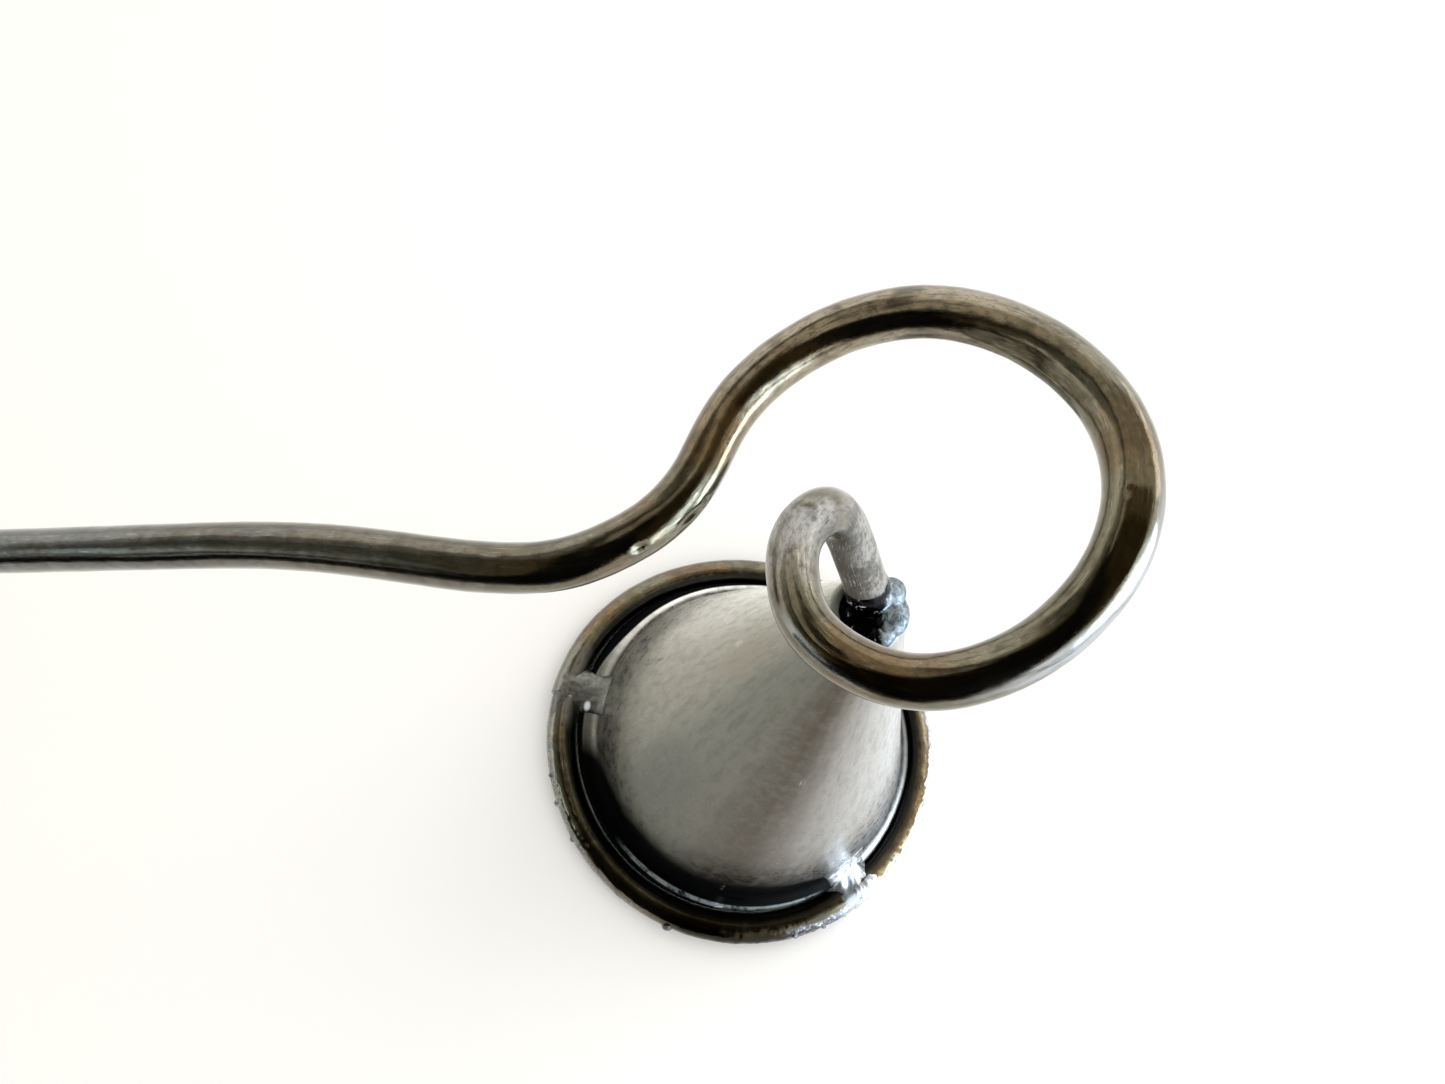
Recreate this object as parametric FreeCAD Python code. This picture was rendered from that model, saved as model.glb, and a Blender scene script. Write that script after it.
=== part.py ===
import FreeCAD, Part
import math
import os

# Candle snuffer: a sheet-metal bell with a wire rim, welded to the end of a bent iron rod.
# Millimetres, +Z up. The origin is the centre of the bell's mouth, on the plane that the rim
# stands on. The bell's axis is Z and the handle runs away along -X, down to the same plane.

# Stock
ROD_DIAMETER = 4.0          # round bar, used for the handle and for the rim
SHEET = 0.9                 # bell sheet

# Bell: a cone rolled from sheet, with a small out-turned lip at the mouth
BELL_HEIGHT = 63.0          # top edge of the cone above the table
BELL_TOP_RADIUS = 3.5       # outside
CONE_FOOT_RADIUS = 21.7     # outside, where the lip's flare begins
CONE_FOOT_HEIGHT = 4.6
LIP_RADIUS = 23.0           # outside edge of the lip
LIP_ANGLE = 72.0            # lip's slope, degrees from vertical
FLARE_RADIUS = 1.6          # outside of the bend between cone and lip
SEAM_ANGLE = -92.0          # where the rolled sheet's edges meet, degrees from +X
SEAM_WIDTH = 0.8
SEAM_BEAD = 0.4             # how far the seam's bead stands in from the sheet, inside the bell

# Rim: one bar bent round the lip, its ends butted at the left weld
RIM_RADIUS = 25.7           # centre line of the bar
RIM_OFFSET = -0.5           # the rim sits a little off the bell's axis, along X
RIM_FLAT = 0.2              # ground off underneath, so that the rim stands flat
RIM_END_GAP = 2.0           # degrees between the bar's ends

# Beads that join the rim to the lip: middle and half width, degrees from +X
RIM_WELDS = {
    "rim_weld_left": (174.0, 7.0),
    "rim_weld_front": (-45.5, 5.0),
    "rim_weld_rear": (64.0, 6.0),
}
BEAD_RADIUS = 2.2
BEAD_HEIGHT = 3.1           # centre of the bead above the table

# Weld that plugs the top of the bell and holds the end of the rod
CAP_RISE = 1.3              # dome over the top of the cone
PLUG_DEPTH = 2.0            # inside the cone
COLLAR_LENGTH = 2.6         # up the rod
COLLAR_ROOT = 3.0           # radius at the dome
COLLAR_TOP = 2.2            # radius where it thins out on the rod
LUMP_RADIUS = 1.9
LUMP_CENTRE = (1.9, 0.4, 63.4)

# Handle: the corners of the rod's centre line, each rounded by the largest bend that fits
ROD_CORNERS = [
    (-186.0, -3.0, 2.0),    # end of the handle, touching the table
    (-83.0, -3.0, 51.0),    # long run
    (-50.5, -2.5, 66.0),
    (-33.5, -5.0, 74.0),    # dip before the scroll
    (-27.5, -5.0, 77.0),
    (-20.0, -0.5, 80.0),
    (-17.0, 9.5, 81.5),     # large loop
    (-11.0, 14.5, 85.0),
    (-4.0, 15.5, 89.0),
    (3.0, 12.0, 92.5),
    (8.0, 5.0, 95.0),
    (8.0, -4.5, 95.5),
    (4.5, -10.5, 88.5),
    (-3.0, -13.0, 83.5),    # small hook, back over the bell
    (-10.5, -8.5, 80.5),
    (-11.5, -1.0, 79.5),
    (-8.5, 3.0, 78.0),
    (-5.5, 4.0, 73.0),      # down to the top of the bell
    (-0.8, 1.8, 64.2),
]
BEND_SHARE = 0.48           # part of the shorter run that a bend may take
LARGEST_BEND = 300.0

BLOCK = 80.0                # side of a cutting block, wider than the bell and its rim

V = FreeCAD.Vector
UP = V(0, 0, 1)
ORIGIN = V(0, 0, 0)
ROD_RADIUS = ROD_DIAMETER / 2
RIM_CENTRE = V(RIM_OFFSET, 0, ROD_RADIUS - RIM_FLAT)


def on_circle(radius, degrees, z, centre_x=0.0):
    angle = math.radians(degrees)
    return V(centre_x + radius * math.cos(angle), radius * math.sin(angle), z)


def slope(degrees_from_vertical):
    """Directions in the profile plane XZ: down along a wall, and out from it."""
    angle = math.radians(degrees_from_vertical)
    along = V(math.sin(angle), 0, -math.cos(angle))
    outward = V(math.cos(angle), 0, math.sin(angle))
    return along, outward


def block_between(low, high):
    """A square block round the bell's axis, between two heights."""
    return Part.makeBox(BLOCK, BLOCK, high - low, V(-BLOCK / 2, -BLOCK / 2, low))


def bell_wall(thickness):
    """The whole wall of the bell, revolved, thickened inwards from its outside. Also gives the
    radius of the hole at its top."""
    top = V(BELL_TOP_RADIUS, 0, BELL_HEIGHT)
    foot = V(CONE_FOOT_RADIUS, 0, CONE_FOOT_HEIGHT)
    cone_angle = math.degrees(math.atan2(foot.x - top.x, top.z - foot.z))
    cone_along, cone_out = slope(cone_angle)
    lip_along, lip_out = slope(LIP_ANGLE)
    _, middle_out = slope((cone_angle + LIP_ANGLE) / 2)
    centre = foot + cone_out * FLARE_RADIUS
    inner_radius = FLARE_RADIUS + thickness

    flare_end = centre - lip_out * FLARE_RADIUS
    lip_run = (LIP_RADIUS - flare_end.x) / lip_along.x
    lip_edge = flare_end + lip_along * lip_run
    lip_under = lip_edge - lip_out * thickness
    flare_under = flare_end - lip_out * thickness
    foot_under = foot - cone_out * thickness
    drop = (foot_under.z - BELL_HEIGHT) / math.cos(math.radians(cone_angle))
    top_under = foot_under + cone_along * drop

    edges = [
        Part.LineSegment(top, foot),
        Part.Arc(foot, centre - middle_out * FLARE_RADIUS, flare_end),
        Part.LineSegment(flare_end, lip_edge),
        Part.LineSegment(lip_edge, lip_under),
        Part.LineSegment(lip_under, flare_under),
        Part.Arc(flare_under, centre - middle_out * inner_radius, foot_under),
        Part.LineSegment(foot_under, top_under),
        Part.LineSegment(top_under, top),
    ]
    profile = Part.Face(Part.Wire([edge.toShape() for edge in edges]))
    return profile.revolve(ORIGIN, UP, 360), top_under.x


def bell_parts():
    """The rolled sheet, open along its seam, and the bead that fills the seam."""
    sheet, hole_radius = bell_wall(SHEET)
    beaded, _ = bell_wall(SHEET + SEAM_BEAD)
    slot = Part.makeBox(LIP_RADIUS + SHEET, SEAM_WIDTH, BELL_HEIGHT, V(0, -SEAM_WIDTH / 2, 0))
    slot.rotate(ORIGIN, UP, SEAM_ANGLE)
    return sheet.cut(slot), beaded.common(slot), hole_radius


def rim():
    """The bar bent into a ring, flat underneath, with its ends apart at the left weld."""
    start = RIM_WELDS["rim_weld_left"][0] + RIM_END_GAP / 2
    section = Part.Wire(Part.Circle(V(RIM_RADIUS, 0, 0), V(0, 1, 0), ROD_RADIUS).toShape())
    ring = Part.Face(section).revolve(ORIGIN, UP, 360 - RIM_END_GAP)
    ring.rotate(ORIGIN, UP, start)
    ring.translate(RIM_CENTRE)
    return ring.cut(block_between(-ROD_DIAMETER, 0))


def rim_weld(middle, half_width, neighbours):
    """A round-ended bead lying in the groove between the lip and the rim."""
    rim_inside = on_circle(RIM_RADIUS - ROD_RADIUS, middle, 0, RIM_OFFSET).Length
    radius = (LIP_RADIUS + rim_inside) / 2
    start = on_circle(radius, middle - half_width, BEAD_HEIGHT)
    end = on_circle(radius, middle + half_width, BEAD_HEIGHT)
    across = on_circle(1, middle - half_width + 90, 0)
    section = Part.Wire(Part.Circle(start, across, BEAD_RADIUS).toShape())
    bead = Part.Face(section).revolve(ORIGIN, UP, 2 * half_width)
    bead = bead.multiFuse([Part.makeSphere(BEAD_RADIUS, start), Part.makeSphere(BEAD_RADIUS, end)])
    for neighbour in neighbours:
        bead = bead.cut(neighbour)
    return bead


def rod():
    """The handle: straight runs joined by tangent bends, and a domed end."""
    corners = [V(*corner) for corner in ROD_CORNERS]
    first_run = (corners[1] - corners[0]).normalize()
    pieces = [Part.makeSphere(ROD_RADIUS, corners[0])]
    here = corners[0]
    length = 0.0
    for before, corner, after in zip(corners, corners[1:], corners[2:]):
        back = before - corner
        ahead = after - corner
        shorter = min(back.Length, ahead.Length)
        back.normalize()
        ahead.normalize()
        turn = math.pi - back.getAngle(ahead)
        radius = min(BEND_SHARE * shorter / math.tan(turn / 2), LARGEST_BEND)
        tangent = radius * math.tan(turn / 2)
        bend_start = corner + back * tangent
        centre = corner + (back + ahead).normalize() * (radius / math.cos(turn / 2))
        axis = ahead.cross(back).normalize()
        section = Part.Circle(bend_start, back, ROD_RADIUS).toShape()
        bend = Part.Face(Part.Wire(section)).revolve(centre, axis, math.degrees(turn))
        run = bend_start - here
        pieces.append(Part.makeCylinder(ROD_RADIUS, run.Length, here, run))
        pieces.append(bend)
        length += run.Length + radius * turn
        here = corner + ahead * tangent
    last = corners[-1] - here
    pieces.append(Part.makeCylinder(ROD_RADIUS, last.Length, here, last))
    length += last.Length
    solid = pieces[0].multiFuse(pieces[1:])
    area = math.pi * ROD_RADIUS ** 2
    half_ball = 2 / 3 * math.pi * ROD_RADIUS ** 3
    print("rod length %.1f, volume %.1f, expected %.1f"
          % (length, solid.Volume, area * length + half_ball))
    return solid, last.normalize()


def tip_weld(hole_radius, rod_direction, neighbours):
    """The dome over the top of the bell, its plug, a collar up the rod and one lump."""
    ball = (BELL_TOP_RADIUS ** 2 + CAP_RISE ** 2) / (2 * CAP_RISE)
    dome = Part.makeSphere(ball, V(0, 0, BELL_HEIGHT + CAP_RISE - ball))
    dome = dome.common(block_between(BELL_HEIGHT, BELL_HEIGHT + CAP_RISE))
    wider = PLUG_DEPTH * (CONE_FOOT_RADIUS - BELL_TOP_RADIUS) / (BELL_HEIGHT - CONE_FOOT_HEIGHT)
    plug_base = V(0, 0, BELL_HEIGHT - PLUG_DEPTH)
    plug = Part.makeCone(hole_radius + wider, hole_radius, PLUG_DEPTH, plug_base)
    end = V(*ROD_CORNERS[-1])
    collar = Part.makeCone(COLLAR_ROOT, COLLAR_TOP, COLLAR_LENGTH, end, rod_direction * -1)
    lump = Part.makeSphere(LUMP_RADIUS, V(*LUMP_CENTRE))
    weld = dome.multiFuse([plug, collar, lump])
    for neighbour in neighbours:
        weld = weld.cut(neighbour)
    return weld


def save(name, shape):
    print("%-16s valid %s, solids %d, volume %.1f"
          % (name, shape.isValid(), len(shape.Solids), shape.Volume))
    shape.exportStep("parts/%s.step" % name)


def main():
    os.makedirs("parts", exist_ok=True)
    bell, seam, hole_radius = bell_parts()
    ring = rim()
    handle, rod_direction = rod()
    save("bell_cone", bell)
    save("bell_seam_weld", seam)
    save("rim_ring", ring)
    for name, (middle, half_width) in RIM_WELDS.items():
        save(name, rim_weld(middle, half_width, [bell, ring]))
    save("tip_weld", tip_weld(hole_radius, rod_direction, [handle, bell]))
    save("handle_rod", handle)


main()
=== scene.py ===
import math
from types import SimpleNamespace

import bmesh
import bpy
import numpy as np
from mathutils import Matrix, Vector, noise


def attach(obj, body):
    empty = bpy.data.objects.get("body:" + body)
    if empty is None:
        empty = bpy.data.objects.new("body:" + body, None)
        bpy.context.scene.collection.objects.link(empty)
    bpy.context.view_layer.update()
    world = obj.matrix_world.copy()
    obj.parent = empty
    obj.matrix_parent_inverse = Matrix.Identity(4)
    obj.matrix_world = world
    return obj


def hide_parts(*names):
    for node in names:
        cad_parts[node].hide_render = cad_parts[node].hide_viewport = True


# A candle snuffer: a satin sheet-metal bell with a wire rim, on the end of a scrolled rod of
# blackened iron. The shapes are worked out in millimetres and scaled as each mesh is made.

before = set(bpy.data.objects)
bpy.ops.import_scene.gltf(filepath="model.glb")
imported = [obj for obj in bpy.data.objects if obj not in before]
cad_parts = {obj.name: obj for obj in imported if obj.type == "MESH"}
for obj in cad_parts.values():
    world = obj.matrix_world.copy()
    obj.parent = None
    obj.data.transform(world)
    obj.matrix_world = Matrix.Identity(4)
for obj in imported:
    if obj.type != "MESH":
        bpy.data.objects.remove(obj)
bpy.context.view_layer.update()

MM = 0.001

# ---------------------------------------------------------------- sizes, in millimetres

ROD_RADIUS = 2.0
ROD_CORNERS = [
    (-186.0, -3.0, 2.0),
    (-83.0, -3.0, 51.0),
    (-50.5, -2.5, 66.0),
    (-33.5, -5.0, 74.0),
    (-27.5, -5.0, 77.0),
    (-20.0, -0.5, 80.0),
    (-17.0, 9.5, 81.5),
    (-11.0, 14.5, 85.0),
    (-4.0, 15.5, 89.0),
    (3.0, 12.0, 92.5),
    (8.0, 5.0, 95.0),
    (8.0, -4.5, 95.5),
    (4.5, -10.5, 88.5),
    (-3.0, -13.0, 83.5),
    (-10.5, -8.5, 80.5),
    (-11.5, -1.0, 79.5),
    (-8.5, 3.0, 78.0),
    (-5.5, 4.0, 73.0),
    (-0.8, 1.8, 64.2),
]
BEND_SHARE = 0.48           # how much of the shorter side a bend takes
LARGEST_BEND = 300.0        # its radius
ROD_STEP = 0.3              # between two rings of the rod's mesh
ROD_SIDES = 56
ROD_EASE = 1.2              # how far along the rod a bend fades into the next
EASE_REACH = 2.5            # how many times that far the easing looks
FEWEST_STEPS = 4            # in a bend
DOME_RINGS = (0.97, 0.85, 0.65, 0.4, 0.16)  # radii of the rings at the rod's domed end, as shares
# How the bar strays from round: depth, lobes, length of a wave, where it starts, length of a twist
WOBBLES = [(0.035, 2, 7.3, 1.7, 31.0), (0.025, 3, 3.9, 0.4, -17.0)]
ROD_SKIN = [(0.012, 0.9, 1), (0.02, 2.6, 2)]  # layers of roughness: depth, size, seed
ASH_SHADED_SIDE = 4.0           # how far round the rod, from its top, the painted shade on the scale at its end is darkest

FLAT_EDGE = 0.02            # how far a flat's edge is rounded
FLAT_SIDE = 0.2             # cosine past which a flat no longer cuts the bar
# Flats left by the hammer: place along the rod, degrees from its top, length, depth
FLATS = [
    (169.0, 20.0, 11.0, 0.10),
    (187.0, -20.0, 9.0, 0.08),
    (206.0, 5.0, 16.0, 0.10),
    (221.5, 75.0, 15.0, 0.16),
    (234.0, 14.0, 15.0, 0.18),
    (247.0, 30.0, 13.0, 0.10),
    (264.0, -20.0, 12.0, 0.09),
    (287.0, 60.0, 8.0, 0.12),
]
NICK_BURR = 0.35            # height of the burr round a nick, as a share of its depth
BURR_PLACE = 2.2            # the square of how far out the burr is, in half widths
# Nicks: place along the rod, degrees from its top, half length, half width, depth
NICKS = [
    (169.5, -13.0, 0.9, 0.25, 0.09),
    (180.7, 47.0, 0.5, 0.35, 0.16),
    (184.6, 62.0, 0.8, 0.30, 0.18),
    (186.0, 66.0, 0.4, 0.30, 0.14),
    (232.0, -13.0, 0.15, 0.7, 0.07),
    (234.2, 36.0, 0.20, 0.3, 0.10),
    (262.5, -28.0, 3.0, 0.16, 0.08),
    (266.0, -16.0, 3.5, 0.14, 0.08),
    (268.5, 4.0, 1.2, 0.2, 0.07),
]

BELL_TOP_RADIUS = 3.5
CONE_FOOT_RADIUS = 21.4
CONE_FOOT_HEIGHT = 5.56
BELL_HEIGHT = 63.0
WALL_CLIMB = 0.3116         # how much narrower the cone is for each millimetre up
LIP_RADIUS = 24.0
LIP_ANGLE = 72.0
FLARE_RADIUS = 3.0
SHEET = 0.9
LIP_GAP = 0.35              # between the lip and the rim
LIP_START = 1.2             # how far out from the cone's foot the lip starts to follow the rim
LIP_LINE = 23.25            # radius of the painted highlight line near the lip's edge
SEAM_ANGLE = -96.0
LAP_STEP = 0.02             # half the step where the rolled sheet's edges meet, on the cone
LIP_STEP = 0.3              # and on the lip
LIP_TOP = 4.2               # height where the lip begins
BELL_SIDES = 360
CONE_ROWS = 90
FLARE_ROWS = 14
EDGE_ROWS = 11
INSIDE_ROWS = 70
EDGE_SQUASH = 0.6           # how blunt the sheet's rounded edge is
CROWN = 0.06                # rise of the cone's top edge
BELL_SKIN = [(0.10, 14, 3), (0.035, 4.5, 4), (0.003, 1.6, 5)]
LEAN_FOOT = 0.3             # along X, from the axis to where the cone's foot really is
LEAN_TOP = -0.3
STRAY_HEIGHT = 16           # how far up the bell its mouth's straying from a circle reaches
SMOOTH_DEGREES = 41         # how widely marks round a circle are smoothed
# How far the lip and the rim stray from a circle: degrees from +X, millimetres outwards
LIP_STRAY = [
    (0, 0.5), (45, 0.1), (90, -0.5), (135, -0.1), (180, 0.0), (230, 0.6), (262, -0.5), (285, -0.5),
    (315, 0.0),
]
RIM_STRAY = [
    (6, 0.6), (55, 0.1), (108, -0.5), (160, 0.5), (200, 0.0), (250, -0.1), (300, -0.1), (340, 0.2),
]
# The sheet's colour round the bell: a brown band near the seam, tinted by the heat of welding, and painted
# light and shade, paler towards the right and the back where the bell reflects brighter light and darker
# towards the front left: degrees from +X
BELL_TINTS_AND_SHADING = [
    (-300, (0.30, 0.295, 0.26)),
    (-245, (0.92, 0.91, 0.85)),
    (-214, (0.56, 0.55, 0.49)),
    (-190, (0.36, 0.355, 0.30)),
    (-173, (0.31, 0.302, 0.255)),
    (-145, (0.200, 0.205, 0.178)),
    (-120, (0.165, 0.163, 0.135)),
    (-110, (0.115, 0.110, 0.088)),
    (-102, (0.090, 0.077, 0.056)),
    (-95, (0.080, 0.066, 0.048)),
    (-90, (0.095, 0.082, 0.062)),
    (-84, (0.155, 0.140, 0.118)),
    (-69, (0.30, 0.282, 0.262)),
    (-44, (0.45, 0.44, 0.42)),
    (-27, (0.56, 0.555, 0.545)),
    (0, (0.45, 0.44, 0.43)),
    (30, (0.38, 0.37, 0.35)),
    (60, (0.30, 0.295, 0.26)),
]
# Marks on the bell: degrees, height, half length up the wall, half width, tone, strength
BELL_MARKS = [
    (165, 21, 4.2, 0.35, (0.05, 0.05, 0.045), 0.8),
    (158, 13, 6.0, 0.30, (0.50, 0.49, 0.46), 0.6),
    (140, 12, 7.0, 0.45, (0.60, 0.59, 0.56), 0.7),
    (150, 9, 4.5, 0.30, (0.07, 0.07, 0.06), 0.7),
    (-87, 37, 1.1, 0.40, (0.42, 0.41, 0.40), 0.7),
    (175, 45, 1.2, 0.50, (0.55, 0.54, 0.52), 0.8),
    (-173, 46, 8.5, 2.6, (0.27, 0.235, 0.185), 0.6),
    (-143, 22, 11.0, 5.0, (0.115, 0.12, 0.105), 0.5),
]

RIM_RADIUS = 25.7
RIM_OFFSET = -0.5
RIM_HEIGHT = 1.85           # centre of the bar
RIM_GAP_ANGLE = 174.0
RIM_GAP = 0.5               # degrees
RIM_SECTIONS = 900
RIM_SIDES = 56
BAR_AT_LIP = 1.65           # half the bar's width at the height of the lip's edge
RIM_MISMATCH = 0.15         # half the step between the bar's two ends
MISMATCH_REACH = 7          # degrees over which that step fades
RIM_SKIN = [(0.05, 5, 6), (0.03, 1.7, 7), (0.012, 0.7, 8)]
# Spatter's bumps: depth, size, seed, and where its valleys are cut off
CRUST_BUMPS = [(0.25, 1.3, 9, -0.1), (0.22, 0.6, 10, 0.0)]
DROP_RISE = 0.8             # how far a drop stands out, as a share of its radius
# How thickly weld spatter covers the rim's outside: degrees from +X, from none to full
SPATTER = [
    (-110, 0.1), (-80, 0.3), (-50, 1.0), (-20, 1.0), (8, 0.7), (30, 0.1), (120, 0.05), (190, 0.15),
    (215, 0.45), (235, 0.35),
]
# Single drops of spatter: degrees from +X, degrees up round the bar, radius
DROPS = [
    (-107, 10, 0.65), (-162, 20, 0.40), (-154, 5, 0.45), (-143, 0, 0.35), (-70, 25, 0.40), (-61, 5, 0.35),
    (-30, 40, 0.45), (-18, 15, 0.50), (-6, 30, 0.40), (3, 10, 0.45),
]

WELD_VOXEL = 0.13
WELD_ACROSS = 56            # points across a rim weld, from the bell's wall to the rim's outside
WELD_ALONG = 60
WELD_BRIDGE = 33            # how many of them cross from the wall to the top of the bar
WELD_INNER = 21.3           # radius where a rim weld starts on the bell's flare
WELD_LANDING = 100.0        # degrees round the bar where its bridge lands, 90 being the bar's top
WELD_SINK = 0.05            # how far its base is buried in the metal below it
SHARP_EDGE = 1.0            # radians between two faces, from which their edge is sharp
# Rim welds: piece, CAD node, middle and half width in degrees, degrees over the bar, ridges, seed
RIM_WELDS = [
    ("left_bead", "rim_weld_left", 172, 11.0, 62, 0.0, 21),
    ("front_bead", "rim_weld_front", -48.0, 11.5, 50, 0.07, 23),
    ("rear_bead", "rim_weld_rear", 64, 8.0, 30, 0.0, 25),
]
# The tip weld, as balls of (centre, radii): a puddle, a sleeve up the rod, and lumps on one side
TIP_PUDDLE = ((-0.1, -0.2, 62.3), (2.5, 2.5, 1.0))
TIP_SLEEVE = (-0.3, 0.3, 1.0)  # how far past the rod's end the sleeve's balls are
TIP_SLEEVE_RADIUS = 2.2
TIP_LUMPS = [
    ((1.95, 0.1, 63.1), (1.65, 2.3, 1.35)),
    ((1.5, 1.9, 63.7), (1.5, 1.5, 1.6)),
    ((1.3, -2.0, 62.9), (1.2, 1.2, 0.85)),
    ((-0.6, 2.6, 62.9), (1.2, 0.9, 0.9)),
]
TIP_VOXEL = 0.09
SEAM_BALLS = 60
SEAM_BALL = (0.7, 0.7, 0.8)
SEAM_LOW = 3.4              # height of the lowest ball of the seam bead
SEAM_RUN = BELL_HEIGHT - 6.5  # from there up to the highest


# ---------------------------------------------------------------- mesh helpers

def add_object(name, data):
    """A new object in the scene."""
    piece = bpy.data.objects.new(name, data)
    bpy.context.scene.collection.objects.link(piece)
    return piece


def new_object(name, points, faces, uvs=None):
    """A smooth-shaded mesh object from points in millimetres."""
    mesh = bpy.data.meshes.new(name)
    mesh.from_pydata([tuple(p) for p in np.asarray(points) * MM], [], faces)
    mesh.validate()
    if uvs is not None:
        layer = mesh.uv_layers.new(name="along_around")
        flat = np.asarray(uvs, dtype=np.float32).reshape(-1)
        layer.data.foreach_set("uv", flat)
    mesh.polygons.foreach_set("use_smooth", [True] * len(mesh.polygons))
    mesh.update()
    return add_object(name, mesh)


def grid_faces(rows, columns, close_rows=False):
    """Quads between rows of points, closed round each row."""
    faces = []
    last = rows if close_rows else rows - 1
    for i in range(last):
        a = i * columns
        b = ((i + 1) % rows) * columns
        for j in range(columns):
            k = (j + 1) % columns
            faces.append((a + j, a + k, b + k, b + j))
    return faces


def grid_uvs(rows, columns, row_size, column_size, close_rows=False):
    """Millimetre-sized texture coordinates for grid_faces, in the same order of corners."""
    uvs = []
    last = rows if close_rows else rows - 1
    for i in range(last):
        for j in range(columns):
            low, high = i * row_size, (i + 1) * row_size
            left, right = j * column_size, (j + 1) * column_size
            uvs.extend([(low, left), (low, right), (high, right), (high, left)])
    return uvs


def fit_on(piece, node, material):
    """The piece stands for a CAD node, rides on the body and wears a material."""
    piece.data.materials.append(material)
    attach(piece, "root")
    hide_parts(node)


def lumps(points, size, seed):
    """Smooth noise from -1 to 1 at each point, with features of about this size."""
    shift = Vector((seed * 17.3, seed * 5.1, seed * 9.7))
    return np.array([noise.noise(Vector(p) / size + shift) for p in points])


def rough_skin(points, layers):
    """Layers of smooth noise added up."""
    return sum(depth * lumps(points, size, seed) for depth, size, seed in layers)


def bar_end(first, sides):
    """The face that closes a bar's end, from the index of its ring's first point."""
    return tuple(range(first, first + sides))


def circle(radians):
    """Points on a circle of radius 1, one for each angle."""
    return np.stack([np.cos(radians), np.sin(radians)], axis=-1)


def past(angles, middle, whole=360):
    """How far each angle is past a middle one, the short way round."""
    return (angles - middle + whole / 2) % whole - whole / 2


def lengths_along(line):
    """How far along a line of points each of them is."""
    return np.r_[0, np.cumsum(np.linalg.norm(np.diff(line, axis=0), axis=1))]


def points_along(line, places):
    """The points at these places along a line."""
    lengths = lengths_along(line)
    return np.stack([np.interp(places, lengths, axis) for axis in line.T], axis=1)


def around(marks, degrees):
    """Smooth values round a circle through a few marks of (degrees, value)."""
    marks = sorted((angle % 360, value) for angle, value in marks)
    angles = np.array([m[0] for m in marks])
    values = np.array([m[1] for m in marks])
    fine = np.interp(np.arange(360), angles, values, period=360)
    window = np.hanning(SMOOTH_DEGREES)
    window /= window.sum()
    tripled = np.tile(fine, 3)
    smooth = np.convolve(tripled, window, "same")[360:720]
    return np.interp(np.asarray(degrees) % 360, np.arange(360), smooth, period=360)


# ---------------------------------------------------------------- the rod

def rod_line():
    """The rod's centre line: straight runs with tangent bends, evenly spaced and eased."""
    corners = [np.array(corner) for corner in ROD_CORNERS]
    points = [corners[0]]
    for before, corner, after in zip(corners, corners[1:], corners[2:]):
        back, ahead = before - corner, after - corner
        shorter = min(np.linalg.norm(back), np.linalg.norm(ahead))
        back /= np.linalg.norm(back)
        ahead /= np.linalg.norm(ahead)
        turn = math.pi - math.acos(np.clip(back @ ahead, -1, 1))
        radius = min(BEND_SHARE * shorter / math.tan(turn / 2), LARGEST_BEND)
        tangent = radius * math.tan(turn / 2)
        middle = (back + ahead) / np.linalg.norm(back + ahead)
        centre = corner + middle * (radius / math.cos(turn / 2))
        start = (corner + back * tangent - centre) / radius
        side = np.cross(np.cross(ahead, back), start)
        side /= np.linalg.norm(side)
        steps = max(FEWEST_STEPS, int(radius * turn / ROD_STEP))
        for t in np.linspace(0, turn, steps + 1):
            points.append(centre + radius * (start * math.cos(t) + side * math.sin(t)))
    points.append(corners[-1])
    points = np.array(points)
    length = lengths_along(points)[-1]
    places = np.linspace(0, length, int(length / ROD_STEP) + 1)
    return places, ease(points_along(points, places))


def ease(line):
    """Softens the change from one bend to the next, leaving the ends where they are."""
    reach = int(EASE_REACH * ROD_EASE / ROD_STEP)
    weights = np.exp(-0.5 * (np.arange(-reach, reach + 1) * ROD_STEP / ROD_EASE) ** 2)
    weights /= weights.sum()
    before = 2 * line[0] - line[reach:0:-1]
    after = 2 * line[-1] - line[-2:-reach - 2:-1]
    longer = np.vstack([before, line, after])
    return np.stack([np.convolve(longer[:, i], weights, "valid") for i in range(3)], axis=1)


def rod_radius(places, angles):
    """The rod's radius at each place along it and angle round it."""
    s = places[:, None]
    a = angles[None, :]
    radius = np.full((len(places), len(angles)), ROD_RADIUS)
    for depth, lobes, wave, start, twist in WOBBLES:
        radius = radius + depth * np.sin(s / wave + start) * np.cos(lobes * a + s / twist)
    for place, degrees, length, depth in FLATS:
        fade = np.clip(1 - ((s - place) / (length / 2)) ** 2, 0, 1)
        turned = np.cos(a - math.radians(degrees))
        flat = (ROD_RADIUS - depth * fade) / np.maximum(turned, FLAT_SIDE)
        over = radius - flat
        radius = radius - np.where(fade > 0, 0.5 * (over + np.sqrt(over ** 2 + FLAT_EDGE ** 2)), 0)
    for place, degrees, half_length, half_width, depth in NICKS:
        across = past(a, math.radians(degrees), 2 * math.pi)
        away = ((s - place) / half_length) ** 2 + (across * ROD_RADIUS / half_width) ** 2
        radius = radius - depth * np.exp(-away) + NICK_BURR * depth * np.exp(-(away - BURR_PLACE) ** 2)
    return radius


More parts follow.
